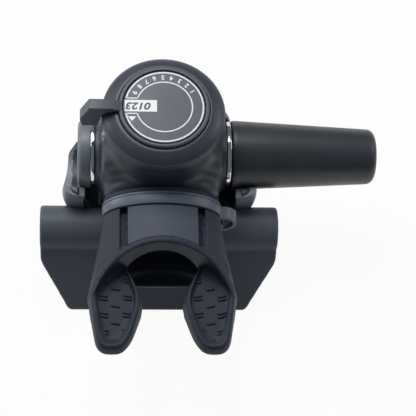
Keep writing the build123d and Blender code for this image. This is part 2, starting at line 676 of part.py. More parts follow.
def venturi_vane():
    """Blade inside the tower that steers the air into the neck."""
    top, low = VANE_TOP_Z, VANE_TOP_Z - VANE_T
    hub, hole = HUB_R + 1, 0.68 * HUB_R
    blade_low = top - VANE_HANG + 0.5
    inner = VANE_R - VANE_T
    deck = turned_z([(hole, low), (VANE_R, low), (VANE_R, top), (hole, top)])
    blade = turned_z([(inner, blade_low), (VANE_R, blade_low), (VANE_R, top), (inner, top)])
    fan = Rot(0, 0, -90 - VANE_HALF) * wedge(2 * VANE_HALF)
    vane = (deck & fan) + (blade & fan) + (rod_z(hub, low, top) - rod_z(hole, low, top))
    return vane - rod_z(DRIVE_PIN_R, low, top, 0, -DRIVE_R)


def tower_seal():
    cord = 0.7
    return Pos(0, 0, CAP_FLOOR_Z - cord - FIT) * seal(TOWER_R - WALL - 2 * cord + 0.1, cord)


# ---- exhaust ------------------------------------------------------------------
def exhaust_valve():
    """Mushroom valve on the rear of the case, with its stem through the spider."""
    y, t = DRUM_REAR_Y, VALVE_T
    inside = y + WALL
    return turned_y([(y - t - 0.5, 0), (y - t - 0.5, 4), (y - t + 0.2, VALVE_R), (y, VALVE_R),
                     (y, VALVE_STEM_R), (inside, VALVE_STEM_R), (inside, VALVE_KNOB_R),
                     (inside + 2 * t, t), (inside + 2 * t, 0)], z=PORT_Z)


def tee_section(inset):
    """Section of the exhaust tee across X: a round duct above a flared skirt."""
    r = TEE_R - inset
    duct = Pos(TEE_Y, TEE_Z) * Circle(r)
    rear = SKIRT_Y + 1.4 * inset
    slope = [(TEE_Y - r, TEE_Z), (rear, SKIRT_LIP + inset), (rear, inset), (DRUM_REAR_Y - inset, inset),
             (DRUM_REAR_Y - inset, TEE_Z)]
    return duct + section(slope)


def exhaust_tee():
    """Wide duct under the mouthpiece, open at both ends, with a skirt to the floor."""
    half = TEE_HALF
    body = extrude(Plane.YZ * tee_section(0), half, both=True)
    hollow = extrude(Plane.YZ * tee_section(TEE_WALL), half + 1, both=True)
    top = TEE_Z + 2 * TEE_R
    rear = SKIRT_Y - 1 - TEE_RAKE * TEE_Z
    turn_in = TEE_Y - SKIRT_BREAK
    plan = [(half, 0), (half, turn_in), (SKIRT_HALF, rear),
            (-SKIRT_HALF, rear), (-half, turn_in), (-half, 0)]
    outline = Pos(0, -TEE_RAKE * (top - TEE_Z), top) * section(plan, [(1, 12), (4, 12), (2, 5), (3, 5)])
    lean = Vector(0, TEE_RAKE, -1)
    body &= extrude(outline, top * lean.length, dir=lean)
    body -= hollow
    body -= rod_y(DRUM_R + 2 * FIT, DRUM_REAR_Y, 0, z=DRUM_Z)
    return body - rod_y(VALVE_R + VALVE_T, DRUM_REAR_Y - TEE_WALL, DRUM_REAR_Y, z=PORT_Z)


# ---- mouthpiece ---------------------------------------------------------------
def guard_curve(r):
    """Upright cylinder on the axis of the lip guard's curve."""
    return rod_z(r, 0, 4 * DRUM_R, 0, GUARD_Y - GUARD_R)


def lip_guard():
    """Curved wall that sits between lips and teeth."""
    height = (GUARD_TOP + GUARD_LOW) / 2
    wall = guard_curve(GUARD_R) - guard_curve(GUARD_R - GUARD_T)
    return wall & oval_y(GUARD_HALF_W, height, GUARD_END_Y, 0, z=NECK_Z + GUARD_TOP - height)


def horn(inset=0.0):
    """Solid that widens from the strap to the edge of the lip guard."""
    top, low = GUARD_TOP - HORN_TOP, GUARD_LOW - HORN_TOP / 2
    stations = ((STRAP_END_Y - FIT, MOUTH_A + 1.0, MOUTH_B + 0.3, MOUTH_B + 0.3),
                (STRAP_END_Y - 7, MOUTH_A + 1.8, MOUTH_B + 1.0, MOUTH_B + 1.2),
                (GUARD_Y - 6, GUARD_HALF_W - 2.5, top - 0.2, low - 0.6),
                (GUARD_END_Y, GUARD_HALF_W, top, low))
    ovals = []
    for y, half, up, down in stations:
        oval = Ellipse(half - inset, (up + down) / 2 - inset)
        ovals.append(Pos(0, y, NECK_Z + (up - down) / 2) * Rot(90, 0, 0) * oval.face())
    return loft(ovals)


def hollow():
    """Room behind the lip guard, above the ledge that joins the tabs."""
    far = 2 * DRUM_R
    ledge = block((-far, far), (LEDGE_Y, 0), (0, NECK_Z - OPENING_LOW - 0.6))
    return guard_curve(GUARD_R - GUARD_T) - ledge


def mouth_hole():
    """Opening in the guard: a high arch over a shallow bow."""
    low = NECK_Z - OPENING_LOW + OPENING_BOW
    high = OPENING_TOP + OPENING_LOW - OPENING_BOW
    arch = ThreePointArc((-OPENING_A, 0), (0, high), (OPENING_A, 0))
    bow = ThreePointArc((OPENING_A, 0), (0, -OPENING_BOW), (-OPENING_A, 0))
    face = make_face(Curve() + [arch, bow])
    return Pos(0, NECK_END_Y + 1, low) * Rot(90, 0, 0) * extrude(face, NECK_END_Y + 1 - LEDGE_Y + 2)


def panel_grooves():
    """Channels on both sides of the raised panel on top of the neck."""
    channel = block((PANEL_HALF, PANEL_HALF + GROOVE_W), (GUARD_Y - 5, STRAP_END_Y - FIT),
                    (NECK_Z, 2 * NECK_Z))
    channel -= horn(GROOVE_T)
    channel -= guard_curve(GUARD_R)
    return channel + mirror(channel, Plane.YZ)


def tab_outline(start):
    """Bite tab on the right, seen from above."""
    a, b, end = TAB_IN_X, GUARD_HALF_W, TAB_END_Y
    outline = [(OPENING_A, start), (a, end + 20), (a + 4.4, end + 5.6), (a + 8, end), (b - 3.2, end),
               (b - 0.1, GUARD_END_Y), (b - 2.9, start)]
    return section(outline, [(1, 16), (2, 14), (3, 5), (4, 5), (5, 14)])


def tab():
    """Bite tab on the right: a plate sunk inside a ridge."""
    top = TAB_Z + TAB_T / 2
    start = GUARD_Y - 5
    solid = Pos(0, 0, top - TAB_T) * extrude(tab_outline(start), TAB_T, taper=TAB_TAPER)
    inset = TAB_RIM + TAB_T * math.tan(math.radians(TAB_TAPER))
    plate = offset(tab_outline(start + 2 * inset), amount=-inset)
    trough = Pos(0, 0, top - TROUGH) * extrude(plate, TAB_T)
    return solid - (trough & guard_curve(GUARD_R - GUARD_T))


def mouthpiece():
    y0 = MOUTH_SLEEVE_Y
    hole = mouth_hole()
    body = oval_y(MOUTH_A, MOUTH_B, STRAP_END_Y - 1, y0)
    body += oval_y(MOUTH_A + 0.9, MOUTH_B + 0.7, y0 - MOUTH_BEAD_T, y0)
    body += horn()
    body -= oval_y(NECK_A + FIT, NECK_B + FIT, NECK_END_Y - FIT, y0)
    body -= hole
    body -= hollow()
    body += lip_guard() - hole
    bite = tab() - hole
    body += bite
    body += mirror(bite, Plane.YZ)
    return body - panel_grooves()


def strap():
    """Clamping strap with its head and the looped end of its tail."""
    a, b = MOUTH_A + FIT, MOUTH_B + FIT
    y0, y1 = STRAP_END_Y, STRAP_Y
    inside = oval_y(a, b, y0 - 1, y1 + 1)
    band = oval_y(a + STRAP_T, b + STRAP_T, y0, y1)
    x, z = a + STRAP_T + 0.3, NECK_Z - STRAP_TAIL
    r = STRAP_TAIL + 0.4
    loop = rod_y(r, y0, y1, x, z) - rod_y(r - STRAP_T, y0, y1, x, z)
    head = block((a - 2, a + 2 * STRAP_T), (y0, y1), (z - r - 1, z - r + STRAP_TAIL))
    return band + loop + head - inside


NODES = {
    "case": case, "valve_tube": valve_tube, "lever_pin": lever_pin, "inlet_fitting": inlet_fitting,
    "orifice": orifice, "end_ring": end_ring, "end_cap": end_cap, "adjusting_nut": adjusting_nut,
    "poppet": poppet, "poppet_seat": poppet_seat, "poppet_spring": poppet_spring,
    "demand_lever": demand_lever, "hose_tail": hose_tail, "hose_seal": hose_seal, "hose_nut": hose_nut,
    "hose_ferrule": hose_ferrule, "hose_sleeve": hose_sleeve, "diaphragm": diaphragm,
    "diaphragm_plate": diaphragm_plate, "slip_ring": slip_ring, "cover_ring": cover_ring,
    "purge_button": purge_button, "purge_spring": purge_spring, "top_cap": top_cap,
    "tower_seal": tower_seal, "dial_plate": dial_plate, "dial_screw": dial_screw, "lever_ring": lever_ring,
    "drive_pin": drive_pin, "venturi_vane": venturi_vane, "exhaust_valve": exhaust_valve,
    "exhaust_tee": exhaust_tee, "mouthpiece": mouthpiece, "strap": strap,
}

os.makedirs("parts", exist_ok=True)
for name, make in NODES.items():
    export_step(make(), f"parts/{name}.step")
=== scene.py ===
import json
from math import atan2, cos, degrees, pi, radians, sin, sqrt, tau

import bmesh
import bpy
from mathutils import Matrix, Vector


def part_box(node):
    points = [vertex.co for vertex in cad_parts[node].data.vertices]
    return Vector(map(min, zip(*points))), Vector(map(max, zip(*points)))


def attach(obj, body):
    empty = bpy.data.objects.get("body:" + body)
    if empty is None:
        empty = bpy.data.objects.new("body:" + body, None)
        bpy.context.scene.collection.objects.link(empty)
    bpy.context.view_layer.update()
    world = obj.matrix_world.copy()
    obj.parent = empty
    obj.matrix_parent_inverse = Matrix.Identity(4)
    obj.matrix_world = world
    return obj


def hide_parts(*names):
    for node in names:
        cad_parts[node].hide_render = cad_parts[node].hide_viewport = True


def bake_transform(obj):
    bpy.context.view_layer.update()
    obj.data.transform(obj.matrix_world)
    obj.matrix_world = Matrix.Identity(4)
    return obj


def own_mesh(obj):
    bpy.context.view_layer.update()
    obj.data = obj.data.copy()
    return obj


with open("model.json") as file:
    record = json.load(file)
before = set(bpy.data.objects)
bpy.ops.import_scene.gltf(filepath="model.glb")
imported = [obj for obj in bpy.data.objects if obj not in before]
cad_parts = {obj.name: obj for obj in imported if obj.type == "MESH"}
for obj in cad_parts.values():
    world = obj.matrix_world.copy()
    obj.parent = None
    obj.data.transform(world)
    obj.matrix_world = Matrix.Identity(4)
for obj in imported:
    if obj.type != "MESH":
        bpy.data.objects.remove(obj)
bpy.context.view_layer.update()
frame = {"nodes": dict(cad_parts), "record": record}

# The looks of a scuba second stage. Shapes are worked out in millimetres and made
# metres when a piece is put in the scene.
MM = 0.001


# ---- sizes --------------------------------------------------------------------
def in_mm(box):
    """Low and high corner of a box, in millimetres."""
    low, high = box
    return low / MM, high / MM


def mount(name):
    """Dimensions of one of the part's mounts."""
    return next(item["dims"] for item in frame["record"]["mounts"] if item["name"] == name)


# read from the frame
RING_LOW, RING_HIGH = in_mm(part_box("end_ring"))
PLUG_LOW = in_mm(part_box("end_cap"))[0]
FITTING_HIGH = in_mm(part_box("inlet_fitting"))[1]
SLEEVE_LOW, SLEEVE_HIGH = in_mm(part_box("hose_sleeve"))
CAP_HIGH = in_mm(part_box("top_cap"))[1]
DIAL_LOW, DIAL_HIGH = in_mm(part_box("dial_plate"))
LEVER_LOW, LEVER_HIGH = in_mm(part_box("lever_ring"))
MOUTH_LOW = in_mm(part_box("mouthpiece"))[0]
STRAP_LOW, STRAP_HIGH = in_mm(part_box("strap"))
COVER_LOW, COVER_HIGH = in_mm(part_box("cover_ring"))
HOSE_BORE = mount("hose_socket")["r_mm"]

# worked out from these
BARREL_Z = (RING_LOW.z + RING_HIGH.z) / 2
BARREL_R = (RING_HIGH.z - RING_LOW.z) / 2
SLEEVE_R = (SLEEVE_HIGH.z - SLEEVE_LOW.z) / 2
TOWER_R = CAP_HIGH.x
CAP_RIM_Z = CAP_HIGH.z
DIAL_R = DIAL_HIGH.x
DIAL_Z = DIAL_HIGH.z
RING_R = LEVER_HIGH.x
DRUM_Z = (COVER_LOW.z + COVER_HIGH.z) / 2
NECK_Z = (STRAP_LOW.z + STRAP_HIGH.z) / 2

# chosen: tower
SEAM_Z = CAP_RIM_Z - 4.0        # joint between the case and the cap
CAP_RIM_R = 17.0
WELL_FLOOR = SEAM_Z + 0.2       # floor of the cap's well, under the lever ring
DRIVE_R = 10.0                  # circle of the pin that turns the vane
DRIVE_SLOT = 1.5                # half the width of the pin's slot
LEVER_TURN = 38.0               # degrees that the lever turns
ARM_HALF = 2.1                  # half the width of the lever's arm
DIAL_LINES = ((14.0, 0.50), (10.1, 0.42))   # radius and width of the dial's two rings
FLAG_GAP = (-2.9, 3.35)         # the rings stop here, below and above the flag

# chosen: barrel and drum
BARREL_ROOM = 0.6               # round the barrel, where its plug and the hose sleeve are
SLEEVE_TIP_R = 10.4
DRUM_R = 35.0
DRUM_REAR_Y, DRUM_SHOULDER_Y = -17.0, 6.5
FLANK_TURN = 75.0               # degrees of the drum that a flank covers

# chosen: mouthpiece and diaphragm
NECK_A, NECK_B = 20.55, 11.95   # sleeve of the mouthpiece, half width and half height
GUARD_R = 28.8                  # curve of the lip guard, seen from above
GUARD_Y = -43.5                 # its front, in the middle
TROUGH_Z = 51.2                 # sunken floor of the bite plates
BAR_HALF, BAR_THIN, BAR_RISE = 1.6, 0.55, 0.6   # a bite bar's half length, half width and rise
NECK_TOP = (56, 66)             # heights between which the neck's top lies
OVER_NECK = (50, 75)            # and from inside it to well above it
PANEL_HALF = 12.6               # half width of the panel on the neck
CHANNEL_X = (12.7, 15.4)        # channels beside that panel
CHANNEL_DEPTH = 1.6
MEMBRANE_SECTORS = 12


# ---- making meshes ------------------------------------------------------------
# A profile is turned about X; these bring that axis to the one that is asked for.
TURN_TO = {
    "X": Matrix.Identity(4),
    "Y": Matrix.Rotation(pi / 2, 4, "Z"),
    "Z": Matrix.Rotation(-pi / 2, 4, "Y"),
}


def profile(points, rounds=None, closed=True):
    """Outline in the XZ plane; rounds maps a corner's number to how far its rounding reaches."""
    bm = bmesh.new()
    verts = [bm.verts.new((a, 0, b)) for a, b in points]
    ends = verts[1:] + verts[:1] if closed else verts[1:]
    for first, second in zip(verts, ends):
        bm.edges.new((first, second))
    for number, reach in (rounds or {}).items():
        bmesh.ops.bevel(bm, geom=[verts[number]], affect="VERTICES", offset=reach, segments=6,
                        profile=0.5, material=-1)
    return bm


def cleaned(bm):
    """Merges doubled vertices and turns all faces outwards."""
    bmesh.ops.remove_doubles(bm, verts=bm.verts, dist=0.001)
    bmesh.ops.recalc_face_normals(bm, faces=bm.faces)
    return bm


def fill_ends(bm):
    """Closes the open loops of a tube or of a part turn."""
    bmesh.ops.holes_fill(bm, edges=[edge for edge in bm.edges if edge.is_boundary], sides=0)


def turned(points, rounds=None, axis="Z", centre=(0, 0, 0), turn=tau, start=0.0, steps=128):
    """Round piece; points are (place along the axis, radius). A part turn starts from -X about Z."""
    touches = points[0][1] == 0 and points[-1][1] == 0
    bm = profile(points, rounds, closed=not touches)
    full = turn > tau - 0.001
    bmesh.ops.spin(bm, geom=bm.verts[:] + bm.edges[:], cent=(0, 0, 0), axis=(1, 0, 0), angle=turn,
                   steps=steps, use_merge=full)
    cleaned(bm)
    if not full:
        fill_ends(bm)
        cleaned(bm)
    bm.transform(Matrix.Translation(centre) @ TURN_TO[axis] @ Matrix.Rotation(start, 4, "X"))
    return bm


def along_barrel(points, rounds=None):
    """Round piece about the barrel's axis."""
    return turned(points, rounds, axis="X", centre=(0, 0, BARREL_Z))


def lofted(rings, segments=96):
    """Closed skin over ovals across Y; each ring is (y, half width, half height, z)."""
    bm = bmesh.new()
    loops = []
    for y, a, b, z in rings:
        made = bmesh.ops.create_circle(bm, cap_ends=False, radius=1, segments=segments)["verts"]
        upright = Matrix.Rotation(pi / 2, 4, "X") @ Matrix.Diagonal((a, b, 1, 1))
        bmesh.ops.transform(bm, matrix=Matrix.Translation((0, y, z)) @ upright, verts=made)
        loops.append(made)
    for first, second in zip(loops, loops[1:]):
        edges = {edge for vert in first for edge in vert.link_edges if edge.other_vert(vert) in first}
        edges |= {edge for vert in second for edge in vert.link_edges if edge.other_vert(vert) in second}
        bmesh.ops.bridge_loops(bm, edges=list(edges))
    fill_ends(bm)
    return cleaned(bm)


def slab(points, z0, z1, rounds=None):
    """Flat outline in X and Y, extruded from z0 to z1."""
    bm = profile(points, rounds)
    bm.transform(Matrix.Translation((0, 0, z0)) @ Matrix.Rotation(-pi / 2, 4, "X"))
    base = bmesh.ops.contextual_create(bm, geom=bm.edges[:])["faces"]
    out = bmesh.ops.extrude_face_region(bm, geom=base)
    top = [item for item in out["geom"] if isinstance(item, bmesh.types.BMVert)]
    bmesh.ops.translate(bm, vec=(0, 0, z1 - z0), verts=top)
    return cleaned(bm)


def block(x, y, z):
    """Box from (low, high) pairs."""
    bm = bmesh.new()
    middle = [(low + high) / 2 for low, high in (x, y, z)]
    size = [high - low for low, high in (x, y, z)]
    bmesh.ops.create_cube(bm, size=1, matrix=Matrix.Translation(middle) @ Matrix.Diagonal(size + [1]))
    return bm


def moved(bm, x=0, y=0, z=0):
    """The mesh after a shift."""
    bm.transform(Matrix.Translation((x, y, z)))
    return bm


def as_mesh(name, bm):
    """Turns a work mesh into mesh data."""
    mesh = bpy.data.meshes.new(name)
    bm.to_mesh(mesh)
    bm.free()
    return mesh


def linked(name, data):
    """New object in the scene."""
    item = bpy.data.objects.new(name, data)
    bpy.context.scene.collection.objects.link(item)
    return item


def evaluated(item):
    """Work mesh of an object with its modifiers applied."""
    graph = bpy.context.evaluated_depsgraph_get()
    mesh = bpy.data.meshes.new_from_object(item.evaluated_get(graph))
    bm = bmesh.new()
    bm.from_mesh(mesh)
    bpy.data.meshes.remove(mesh)
    return bm


def joined(*parts):
    """One mesh of several."""
    whole = bmesh.new()
    for part in parts:
        mesh = as_mesh("part", part)
        whole.from_mesh(mesh)
        bpy.data.meshes.remove(mesh)
    return whole


def with_modifiers(bm, add):
    """The mesh after the modifiers that add(object) puts on it."""
    mesh = as_mesh("work", bm)
    work = linked("work", mesh)
    add(work)
    result = evaluated(work)
    bpy.data.objects.remove(work)
    bpy.data.meshes.remove(mesh)
    return result


def combined(bm, other, operation):
    """Boolean of two meshes: UNION, DIFFERENCE or INTERSECT."""
    mesh = as_mesh("other", other)
    tool = linked("other", mesh)

    def add(work):
        step = work.modifiers.new("combine", "BOOLEAN")
        step.operation = operation
        step.solver = "EXACT"
        step.object = tool

    result = with_modifiers(bm, add)
    bpy.data.objects.remove(tool)
    bpy.data.meshes.remove(mesh)
    return result


def softened(bm, voxel, rounds):
    """One skin over all parts, with edges and joints rounded as a mould leaves them."""
    def add(work):
        skin = work.modifiers.new("skin", "REMESH")
        skin.mode = "VOXEL"
        skin.voxel_size = voxel
        soften = work.modifiers.new("soften", "SMOOTH")
        soften.factor = 0.5
        soften.iterations = rounds

    return with_modifiers(bm, add)


def relax(bm, verts):
    """Moves each vertex half the way to the middle of its neighbours."""
    bmesh.ops.smooth_vert(bm, verts=verts, factor=0.5, use_axis_x=True, use_axis_y=True, use_axis_z=True)


def filleted(bm, rounds, chosen):
    """Fills inner corners softly where chosen(place) is true; outer edges stay as they are."""
    spots = [vert for vert in bm.verts if chosen(vert.co)]
    for _ in range(rounds):
        bm.normal_update()
        hollow = []
        for vert in spots:
            around = [edge.other_vert(vert).co for edge in vert.link_edges]
            middle = sum(around, Vector()) / len(around)
            if (middle - vert.co).dot(vert.normal) > 0:
                hollow.append(vert)
        relax(bm, hollow)
    return bm


def smoothed(bm, rounds, chosen):
    """Evens out the skin where chosen(place) is true."""
    spots = [vert for vert in bm.verts if chosen(vert.co)]
    for _ in range(rounds):
        relax(bm, spots)
    return bm


def cad_copy(*nodes):
    """Merged copy of CAD nodes, in millimetres."""
    bm = bmesh.new()
    for node in nodes:
        bm.from_mesh(frame["nodes"][node].data)
    bm.transform(Matrix.Scale(1 / MM, 4))
    bmesh.ops.remove_doubles(bm, verts=bm.verts, dist=0.001)
    return bm


def put(bm, name, material, body, stands_for=(), edge=0.0, crease=35):
    """Makes a work mesh a piece of the object. A piece given no body is left unattached.

    edge rounds the edges sharper than crease degrees.
    """
    bm.transform(Matrix.Scale(MM, 4))
    mesh = as_mesh(name, bm)
    mesh.materials.clear()
    mesh.materials.append(material)
    mesh.shade_smooth()
    mesh.set_sharp_from_angle(angle=radians(crease))
    piece = linked(name, mesh)
    if edge:
        rounding = piece.modifiers.new("edge", "BEVEL")
        rounding.width = edge * MM
        rounding.segments = 3
        rounding.limit_method = "ANGLE"
        rounding.angle_limit = radians(crease)
    if body:
        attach(piece, body)
    if stands_for:
        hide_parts(*stands_for)
    return piece


# ---- materials ----------------------------------------------------------------
def colour(code):
    """Linear colour with alpha from an sRGB hex code."""
    parts = [int(code[i:i + 2], 16) / 255 for i in (1, 3, 5)]
    return [p / 12.92 if p <= 0.04045 else ((p + 0.055) / 1.055) ** 2.4 for p in parts] + [1.0]


def empty_tree(owner):
    """Cleared node tree of a material or of the world."""
    owner.use_nodes = True
    owner.node_tree.nodes.clear()
    return owner.node_tree


def add_node(tree, kind, inputs=None, **settings):
    """Adds a node; inputs maps a socket to a value or to the socket that feeds it."""
    node = tree.nodes.new(kind)
    for name, value in settings.items():
        setattr(node, name, value)
    for socket, value in (inputs or {}).items():
        if isinstance(value, bpy.types.NodeSocket):
            tree.links.new(value, node.inputs[socket])
        else:
            node.inputs[socket].default_value = value
    return node


def moulded(name, dark, light, roughness, grain, depth, patch=9.0, **shader):
    """Moulded surface: a cloudy tone in patches, uneven gloss, and the mould's grain with its depth."""
    material = bpy.data.materials.new(name)
    tree = empty_tree(material)
    place = add_node(tree, "ShaderNodeTexCoord").outputs["Object"]
    cloud = add_node(tree, "ShaderNodeTexNoise", {"Vector": place, "Scale": 1 / (patch * MM),
                                                  "Detail": 4.0, "Roughness": 0.6})
    tone = add_node(tree, "ShaderNodeMix", {"Factor": cloud.outputs["Fac"], "A": colour(dark),
                                            "B": colour(light)}, data_type="RGBA")
    fine = add_node(tree, "ShaderNodeTexNoise", {"Vector": place, "Scale": 1 / (grain * MM),
                                                 "Detail": 3.0, "Roughness": 0.55})
    gloss = add_node(tree, "ShaderNodeMapRange", {"Value": cloud.outputs["Fac"],
                                                  "From Min": 0.3, "From Max": 0.7,
                                                  "To Min": roughness - 0.05, "To Max": roughness + 0.05})
    bump = add_node(tree, "ShaderNodeBump", {"Height": fine.outputs["Fac"], "Strength": 1.0,
                                             "Distance": depth * MM})
    surface = add_node(tree, "ShaderNodeBsdfPrincipled", {"Base Color": tone.outputs["Result"],
                                                          "Roughness": gloss.outputs["Result"],
                                                          "Normal": bump.outputs["Normal"], **shader})
    add_node(tree, "ShaderNodeOutputMaterial", {"Surface": surface.outputs["BSDF"]})
    return material


# Rubber reflects less than nylon does.
SOFT = {"Specular IOR Level": 0.2}
METAL = {"Metallic": 1.0}

# Glass-filled nylon, moulded against a fine spark-eroded tool: a near-black charcoal
# with a satin gloss and a grain of about a third of a millimetre.
CASE_NYLON = moulded("glass_filled_nylon", "#2D313B", "#363B47", roughness=0.42, grain=0.35, depth=0.012)
# The same nylon painted mid grey for the flanks of the drum: painted light, standing in for the side light
# that falls on the flanks.
FLANK_NYLON_PAINTED_LIGHT = moulded("flank_nylon_painted_light", "#787E88", "#848A94", roughness=0.46, grain=0.35, depth=0.012)
# The same nylon in a lighter charcoal, for the lever and the front cover.
TRIM_NYLON = moulded("charcoal_nylon", "#41474F", "#4B515A", roughness=0.46, grain=0.35, depth=0.014)
# Nylon with a smoother skin, painted mid grey for the barrel's plug: a painted highlight standing in for the
# light that falls on the plug from the left.
PLUG_NYLON_PAINTED_HIGHLIGHT = moulded("plug_nylon_painted_highlight", "#666E77", "#707881", roughness=0.42, grain=0.30, depth=0.008)
# Nylon 66 of the strap: slate grey with a slight gloss.
STRAP_NYLON = moulded("strap_nylon", "#535C69", "#5E6775", roughness=0.42, grain=0.3, depth=0.008)
# Painted ABS: the dial's smooth dark grey face.
DIAL_PAINT = moulded("grey_painted_abs", "#51565E", "#5B6068", roughness=0.50, grain=0.30, depth=0.004)
# Pad-printing ink: flat white, slightly rough.
WHITE_INK = moulded("white_printing_ink", "#F0F2F4", "#F6F7F9", roughness=0.55, grain=0.20, depth=0.002)
# Pad-printing ink in a dark grey, for the figures on the flag.
DARK_INK = moulded("dark_printing_ink", "#3A3E46", "#42464E", roughness=0.55, grain=0.20, depth=0.002)
# Liquid silicone rubber: near-black with a soft, cloudy sheen.
SILICONE = moulded("black_silicone", "#282D38", "#323843", roughness=0.55, grain=0.5, depth=0.010,
                   patch=6.0, **SOFT)
# The same silicone, paler and matt, for the panel on the neck.
PLATE_SILICONE = moulded("pale_silicone", "#434853", "#4B505B", roughness=0.55, grain=0.4, depth=0.006,
                         **SOFT)
# EPDM rubber of the exhaust tee: dark grey, matt, faintly cloudy.
TEE_RUBBER = moulded("epdm_rubber", "#50565E", "#5A6068", roughness=0.50, grain=0.45, depth=0.012,
                     patch=12.0, **SOFT)
# Neoprene of the bend sleeve: smooth and near-black.
SLEEVE_RUBBER = moulded("neoprene_rubber", "#282C31", "#31353B", roughness=0.40, grain=0.45, depth=0.006,
                        patch=14.0)
# Seal rubber: nitrile, black and matt.
SEAL_RUBBER = moulded("nitrile_rubber", "#16171A", "#1D1E21", roughness=0.55, grain=0.3, depth=0.006)
# Translucent silicone of the diaphragm and the exhaust valve.
CLEAR_SILICONE = moulded("clear_silicone", "#C4C4BD", "#D2D2CB", roughness=0.35, grain=0.4, depth=0.006)
# Acetal: white, smooth and slightly waxy.
ACETAL = moulded("white_acetal", "#DADAD6", "#E6E6E2", roughness=0.35, grain=0.3, depth=0.004)
# Chromed brass: a mirror with a faint haze.
CHROME = moulded("chromed_brass", "#C9CBCE", "#D8DADC", roughness=0.10, grain=1.2, depth=0.0006, **METAL)
# Turned brass with its lathe marks.
BRASS = moulded("turned_brass", "#B8935A", "#C6A268", roughness=0.30, grain=0.4, depth=0.002, **METAL)
# Stainless steel, drawn or stamped.
STEEL = moulded("stainless_steel", "#9A9CA0", "#A9ABAF", roughness=0.28, grain=0.5, depth=0.002, **METAL)

NODE_MATERIALS = {
    "case": CASE_NYLON, "top_cap": CASE_NYLON, "dial_plate": DIAL_PAINT,
    "lever_ring": TRIM_NYLON, "end_cap": TRIM_NYLON, "cover_ring": TRIM_NYLON, "purge_button": TRIM_NYLON,
    "mouthpiece": SILICONE, "strap": STRAP_NYLON, "hose_sleeve": SLEEVE_RUBBER, "exhaust_tee": TEE_RUBBER,
    "poppet_seat": SEAL_RUBBER, "hose_seal": SEAL_RUBBER, "tower_seal": SEAL_RUBBER,
    "diaphragm": CLEAR_SILICONE, "exhaust_valve": CLEAR_SILICONE,
    "poppet": ACETAL, "venturi_vane": ACETAL, "slip_ring": ACETAL,
    "inlet_fitting": CHROME, "end_ring": CHROME, "hose_tail": CHROME, "hose_nut": CHROME,
    "hose_ferrule": CHROME,
    "valve_tube": BRASS, "orifice": BRASS, "adjusting_nut": BRASS,
    "lever_pin": STEEL, "demand_lever": STEEL, "poppet_spring": STEEL, "purge_spring": STEEL,
    "dial_screw": STEEL, "drive_pin": STEEL, "diaphragm_plate": STEEL,
}


def dress_cad_nodes():
    """Gives every CAD node its material."""
    for name, material in NODE_MATERIALS.items():
        mesh = frame["nodes"][name].data
        mesh.materials.clear()
        mesh.materials.append(material)


# ---- barrel and hose end ------------------------------------------------------
def barrel_plug():
    """Round plug on the closed end of the barrel, with a dished face, in a mid grey that is painted
    highlight.
    """
    x0, x1, r = PLUG_LOW.x, RING_LOW.x, BARREL_R - 0.1
    dish_rim, dish_r, dish_floor = 4.0, 3.2, x0 + 2.4
    face = [(x1, 0), (x1, r), (x0, r), (x0, dish_rim), (dish_floor, dish_r), (dish_floor, 0)]
    bm = along_barrel(face, {1: 0.4, 2: 1.9, 3: 0.4})
    put(bm, "barrel_plug", PLUG_NYLON_PAINTED_HIGHLIGHT, "housing", ["end_cap"])


def barrel_rings():
    """Chrome rings at both ends of the barrel."""
    width = RING_HIGH.x - RING_LOW.x
    rings = (("left_ring", RING_LOW.x, RING_HIGH.x, "end_ring"),
             ("right_ring", FITTING_HIGH.x - width, FITTING_HIGH.x, None))
    outer, inner = BARREL_R, BARREL_R - 3
    for name, x0, x1, node in rings:
        bm = along_barrel([(x0, inner), (x0, outer), (x1, outer), (x1, inner)], {1: 0.35, 2: 0.35})
        put(bm, name, CHROME, "housing", [node] if node else ())


def bend_sleeve():
    """Tapered rubber sleeve over the hose end, with room inside for its nut and its ferrule."""
    x0, x1, nut_r, ferrule_r = SLEEVE_LOW.x, SLEEVE_HIGH.x, 9.7, 7.5
    nut_end, socket_end = x0 + 12, x1 - 21.7
    points = [(x0, nut_r), (x0, SLEEVE_R), (x0 + 2, SLEEVE_R), (x1, SLEEVE_TIP_R), (x1, HOSE_BORE),
              (socket_end, HOSE_BORE), (socket_end, ferrule_r), (nut_end, ferrule_r), (nut_end, nut_r)]
    bm = along_barrel(points, {1: 0.9, 3: 3.0, 4: 0.5})
    put(bm, "bend_sleeve", SLEEVE_RUBBER, "hose_end", ["hose_sleeve"])


# ---- tower --------------------------------------------------------------------
def drive_slot(low, high):
    """Room of the arc slot in which the lever's pin travels."""
    inner, outer, spare = DRIVE_R - DRIVE_SLOT, DRIVE_R + DRIVE_SLOT, radians(9)
    points = [(low, inner), (low, outer), (high, outer), (high, inner)]
    return turned(points, turn=radians(LEVER_TURN) + 2 * spare, start=pi / 2 - spare, steps=24)


def tower_cap():
    """Domed cap with the well of the lever ring and the arc slot of its pin."""
    r, z, well = TOWER_R, SEAM_Z, RING_R + 0.3
    plug, low = r - 2.25, z - 1.4
    points = [(low, 0), (low, plug), (z, plug), (z, r), (z + 1.4, r - 0.4), (z + 2.9, r - 2.2),
              (CAP_RIM_Z, CAP_RIM_R + 0.6), (CAP_RIM_Z, well), (WELL_FLOOR, well), (WELL_FLOOR, 0)]
    cap = turned(points, {3: 0.25, 4: 0.7, 5: 1.1, 6: 0.45, 7: 0.15})
    cap = combined(cap, drive_slot(low - 1, z + 1), "DIFFERENCE")
    put(cap, "tower_cap", CASE_NYLON, "housing", ["top_cap"])


def dial_face():
    """Grey disc in the middle of the lever ring."""
    underside = DIAL_LOW.z + 2.8
    points = [(underside, 0), (underside, DIAL_R), (DIAL_Z, DIAL_R), (DIAL_Z, 0)]
    put(turned(points, {2: 0.35}), "dial_face", DIAL_PAINT, "housing", ["dial_plate"])


